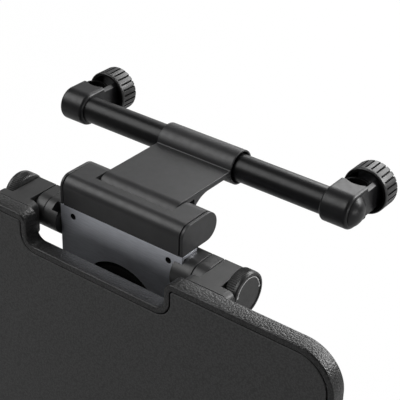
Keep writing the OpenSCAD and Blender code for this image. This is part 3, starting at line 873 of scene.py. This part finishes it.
@dataclass
class TrayBoard:
    """The padded board with its notch, wrapped edge and inset mat."""

    middle: float = -1.3 * MM
    width: float = 265.6 * MM
    height: float = 190.0 * MM
    top: float = -15.5 * MM
    back: float = -74.0 * MM
    thickness: float = 8.5 * MM
    corner: float = 19.5 * MM
    notch_width: float = 85.4 * MM
    notch_depth: float = 15.6 * MM
    notch_ear: float = 5.0 * MM
    notch_corner: float = 5.5 * MM
    rim: float = 3.1 * MM
    gap: float = 0.7 * MM
    sunk: float = 1.6 * MM
    edge: float = 0.7 * MM
    # The rim's inner lip and the flat beside it, and how far back face and floor reach in
    lip: float = 0.35 * MM
    lip_flat: float = 0.2 * MM
    back_inset: float = 0.4 * MM
    floor_inset: float = 2.0 * MM
    # The mat's rounded edge and the flat beside it
    mat_edge: float = 0.45 * MM
    mat_flat: float = 0.3 * MM
    least_radius: float = 0.2 * MM
    per_arc: int = 24

    def arcs(self) -> list[tuple[float, float, float, float, float, bool]]:
        """The outline's arcs in order.

        Returns:
            Centre x and z, radius, start and end angle of each arc, and whether it is hollow.
        """
        half_w, bottom = self.width / 2, self.top - self.height
        r, ear, inner = self.corner, self.notch_ear, self.notch_corner
        notch = self.notch_width / 2
        floor = self.top - self.notch_depth
        deg = math.radians
        return [
            (half_w - r, bottom + r, r, deg(-90), deg(0), False),
            (half_w - r, self.top - r, r, deg(0), deg(90), False),
            (notch + ear, self.top - ear, ear, deg(90), deg(180), False),
            (notch - inner, floor + inner, inner, deg(0), deg(-90), True),
            (-notch + inner, floor + inner, inner, deg(-90), deg(-180), True),
            (-notch - ear, self.top - ear, ear, deg(0), deg(90), False),
            (-half_w + r, self.top - r, r, deg(90), deg(180), False),
            (-half_w + r, bottom + r, r, deg(180), deg(270), False),
        ]

    def outline(self, inset: float, y: float) -> list[Point]:
        """The board's outline drawn in by an inset, at a depth y."""
        points: list[Point] = []
        for cx, cz, radius, start, end, hollow in self.arcs():
            r = radius + inset if hollow else max(radius - inset, self.least_radius)
            for i in range(self.per_arc + 1):
                a = start + (end - start) * i / self.per_arc
                points.append((self.middle + cx + r * math.cos(a), y, cz + r * math.sin(a)))
        return points

    def shell(self) -> bpy.types.Object:
        """The wrapped board with rounded edges, a rim and the floor under the mat."""
        front = self.back - self.thickness
        e = self.edge
        rings = [self.outline(e + self.back_inset, self.back)]
        rings += [self.outline(e * u, self.back - e * (1.0 - v)) for u, v in reversed(quarter(5))]
        rings += [self.outline(e * u, front + e * (1.0 - v)) for u, v in quarter(5)]
        lip = self.lip
        rings += [self.outline(self.rim - lip - self.lip_flat, front)]
        rings += [self.outline(self.rim - lip * (1.0 - v), front + lip * u) for u, v in quarter(3)]
        rings += [self.outline(self.rim, front + self.sunk)]
        rings += [self.outline(self.rim + self.floor_inset, front + self.sunk)]
        points, faces = stack_rings(rings)
        return new_piece("tray_wrap", points, faces)

    def face(self) -> bpy.types.Object:
        """The inset mat with a soft rounded edge."""
        front = self.back - self.thickness
        start, r = self.rim + self.gap, self.mat_edge
        rings = [self.outline(start, front + self.sunk)]
        rings += [self.outline(start + r * u, front + r * (1.0 - v)) for u, v in quarter(4)]
        rings += [self.outline(start + r + self.mat_flat, front)]
        points, faces = stack_rings(rings)
        return new_piece("tray_face", points, faces)

    def build(self, dresser: Dresser, finishes: Finishes) -> None:
        """Build the board and its mat."""
        dresser.dress(["tray_shell"], finishes.leather, 0.0)
        dresser.dress(["tray_mat"], finishes.mat, 0.0)
        for piece, finish, slot, node in (
            (self.shell(), finishes.leather, "tray_plastic", "tray_shell"),
            (self.face(), finishes.mat, "tray_mat", "tray_mat"),
        ):
            piece.data.materials.append(finish)
            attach(piece, "tray")
            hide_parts(node)
            LOG.info("built %s", piece.name)


# Studio


@dataclass
class Softbox:
    """One rectangular lamp."""

    name: str
    place: Point
    aim: Point
    size: tuple[float, float]
    watts: float

    def hang(self) -> None:
        """Put the lamp in the scene."""
        lamp = bpy.data.lights.new(self.name, "AREA")
        lamp.shape = "RECTANGLE"
        lamp.size, lamp.size_y = self.size
        lamp.energy = self.watts
        holder = bpy.data.objects.new(self.name, lamp)
        bpy.context.scene.collection.objects.link(holder)
        holder.location = self.place
        direction = Vector(self.aim) - Vector(self.place)
        holder.rotation_euler = direction.to_track_quat("-Z", "Y").to_euler()


@dataclass
class Studio:
    """Floor, white surround, lamps and camera."""

    camera_place: Point = (0.311345, -0.417106, 0.285541)
    camera_right: Point = (0.79152549, 0.61071818, 0.0225985)
    camera_up: Point = (-0.33019139, 0.3962456, 0.85671645)
    lens_mm: float = 107.004
    floor_z: float = -0.26
    floor_half: float = 4.0
    # Brightness of the floor to the camera, and how much of its shading this covers
    floor_glow: float = 1.02
    floor_cover: float = 0.96
    ambient: float = 0.08
    # Way to the bright part of the surround, where it fades, and its levels
    backdrop_way: Point = (0.05, 0.95, 0.30)
    backdrop_fade: tuple[float, float] = (0.45, 0.98)
    backdrop_levels: tuple[float, float] = (0.06, 1.0)
    lamps: list[Softbox] = field(
        default_factory=lambda: [
            Softbox("key_box", (-0.85, -0.72, 1.02), (0.0, -0.05, -0.05), (1.3, 0.9), 13.0),
            Softbox("rear_box", (0.08, 1.36, 0.80), (0.0, -0.05, -0.05), (1.7, 0.7), 20.0),
            Softbox("corner_box", (0.93, 1.00, 0.61), (0.08, -0.05, -0.03), (0.42, 0.42), 9.0),
            Softbox("side_box", (1.45, -0.10, 0.05), (0.05, -0.05, -0.03), (0.7, 0.25), 3.2),
        ]
    )

    def floor(self) -> None:
        """A plain pale floor that keeps the object's shadow."""
        s, z = self.floor_half, self.floor_z
        corners = [(-s, -s, z), (s, -s, z), (s, s, z), (-s, s, z)]
        piece = new_piece("floor", corners, [[0, 1, 2, 3]], smooth=False)
        material = bpy.data.materials.new("pale_floor")
        material.use_nodes = True
        tree = material.node_tree
        tree.nodes.clear()
        output = tree.nodes.new("ShaderNodeOutputMaterial")
        mix = tree.nodes.new("ShaderNodeMixShader")
        lit = tree.nodes.new("ShaderNodeBsdfDiffuse")
        lit.inputs["Color"].default_value = (0.5, 0.5, 0.5, 1.0)
        white = tree.nodes.new("ShaderNodeEmission")
        white.inputs["Strength"].default_value = self.floor_glow
        path = tree.nodes.new("ShaderNodeLightPath")
        share = tree.nodes.new("ShaderNodeMath")
        share.operation = "MULTIPLY"
        share.inputs[1].default_value = self.floor_cover
        tree.links.new(path.outputs["Is Camera Ray"], share.inputs[0])
        tree.links.new(share.outputs["Value"], mix.inputs["Fac"])
        tree.links.new(lit.outputs["BSDF"], mix.inputs[1])
        tree.links.new(white.outputs["Emission"], mix.inputs[2])
        tree.links.new(mix.outputs["Shader"], output.inputs["Surface"])
        piece.data.materials.append(material)

    def surround(self) -> None:
        """A white surround for the camera and in reflections, and a soft grey one as light."""
        world = bpy.data.worlds.new("studio_surround")
        bpy.context.scene.world = world
        world.use_nodes = True
        tree = world.node_tree
        tree.nodes.clear()
        output = tree.nodes.new("ShaderNodeOutputWorld")
        path = tree.nodes.new("ShaderNodeLightPath")
        place = tree.nodes.new("ShaderNodeTexCoord")
        toward = tree.nodes.new("ShaderNodeVectorMath")
        toward.operation = "DOT_PRODUCT"
        toward.inputs[1].default_value = self.backdrop_way
        fade = tree.nodes.new("ShaderNodeMapRange")
        fade.interpolation_type = "SMOOTHSTEP"
        fade.inputs["From Min"].default_value = self.backdrop_fade[0]
        fade.inputs["From Max"].default_value = self.backdrop_fade[1]
        fade.inputs["To Min"].default_value = self.backdrop_levels[0]
        fade.inputs["To Max"].default_value = self.backdrop_levels[1]
        tree.links.new(place.outputs["Generated"], toward.inputs[0])
        tree.links.new(toward.outputs["Value"], fade.inputs["Value"])
        soft = tree.nodes.new("ShaderNodeBackground")
        soft.inputs["Strength"].default_value = self.ambient
        shine = tree.nodes.new("ShaderNodeBackground")
        tree.links.new(fade.outputs["Result"], shine.inputs["Strength"])
        white = tree.nodes.new("ShaderNodeBackground")
        white.inputs["Strength"].default_value = 1.0
        for node in (soft, shine, white):
            node.inputs["Color"].default_value = (1.0, 1.0, 1.0, 1.0)
        glossy = tree.nodes.new("ShaderNodeMath")
        glossy.operation = "MAXIMUM"
        tree.links.new(path.outputs["Is Glossy Ray"], glossy.inputs[0])
        tree.links.new(path.outputs["Is Transmission Ray"], glossy.inputs[1])
        first = tree.nodes.new("ShaderNodeMixShader")
        second = tree.nodes.new("ShaderNodeMixShader")
        tree.links.new(glossy.outputs["Value"], first.inputs["Fac"])
        tree.links.new(soft.outputs["Background"], first.inputs[1])
        tree.links.new(shine.outputs["Background"], first.inputs[2])
        tree.links.new(path.outputs["Is Camera Ray"], second.inputs["Fac"])
        tree.links.new(first.outputs["Shader"], second.inputs[1])
        tree.links.new(white.outputs["Background"], second.inputs[2])
        tree.links.new(second.outputs["Shader"], output.inputs["Surface"])

    def camera(self) -> None:
        """The camera at the photograph's place and angle."""
        data = bpy.data.cameras.new("photo_camera")
        data.sensor_width = 36.0
        data.sensor_fit = "HORIZONTAL"
        data.lens = self.lens_mm
        data.clip_start, data.clip_end = 0.01, 20.0
        holder = bpy.data.objects.new("photo_camera", data)
        bpy.context.scene.collection.objects.link(holder)
        right, up = Vector(self.camera_right).normalized(), Vector(self.camera_up).normalized()
        back = right.cross(up)
        turn = Matrix((right, up, back)).transposed()
        holder.matrix_world = Matrix.Translation(Vector(self.camera_place)) @ turn.to_4x4()
        bpy.context.scene.camera = holder

    def build(self) -> None:
        """Set the whole studio up."""
        bpy.context.scene.view_settings.view_transform = "Standard"
        self.camera()
        self.floor()
        self.surround()
        for lamp in self.lamps:
            lamp.hang()


def main() -> None:
    """Dress the holder and set the studio up round it."""
    logging.basicConfig(level=logging.INFO, format="%(name)s: %(message)s")
    Studio().build()
    dresser, finishes = Dresser(frame["nodes"]), Finishes()
    Bar().build(dresser, finishes)
    for side in Side:
        PostClamp(side).build(dresser, finishes)
    SwingArm().build(dresser, finishes)
    HingeBlock().build(dresser, finishes)
    TrayHinge().build(dresser, finishes)
    for side in Side:
        TiltKnob(side).build(dresser, finishes)
    TrayBoard().build(dresser, finishes)


if __name__ == "__main__":
    main()
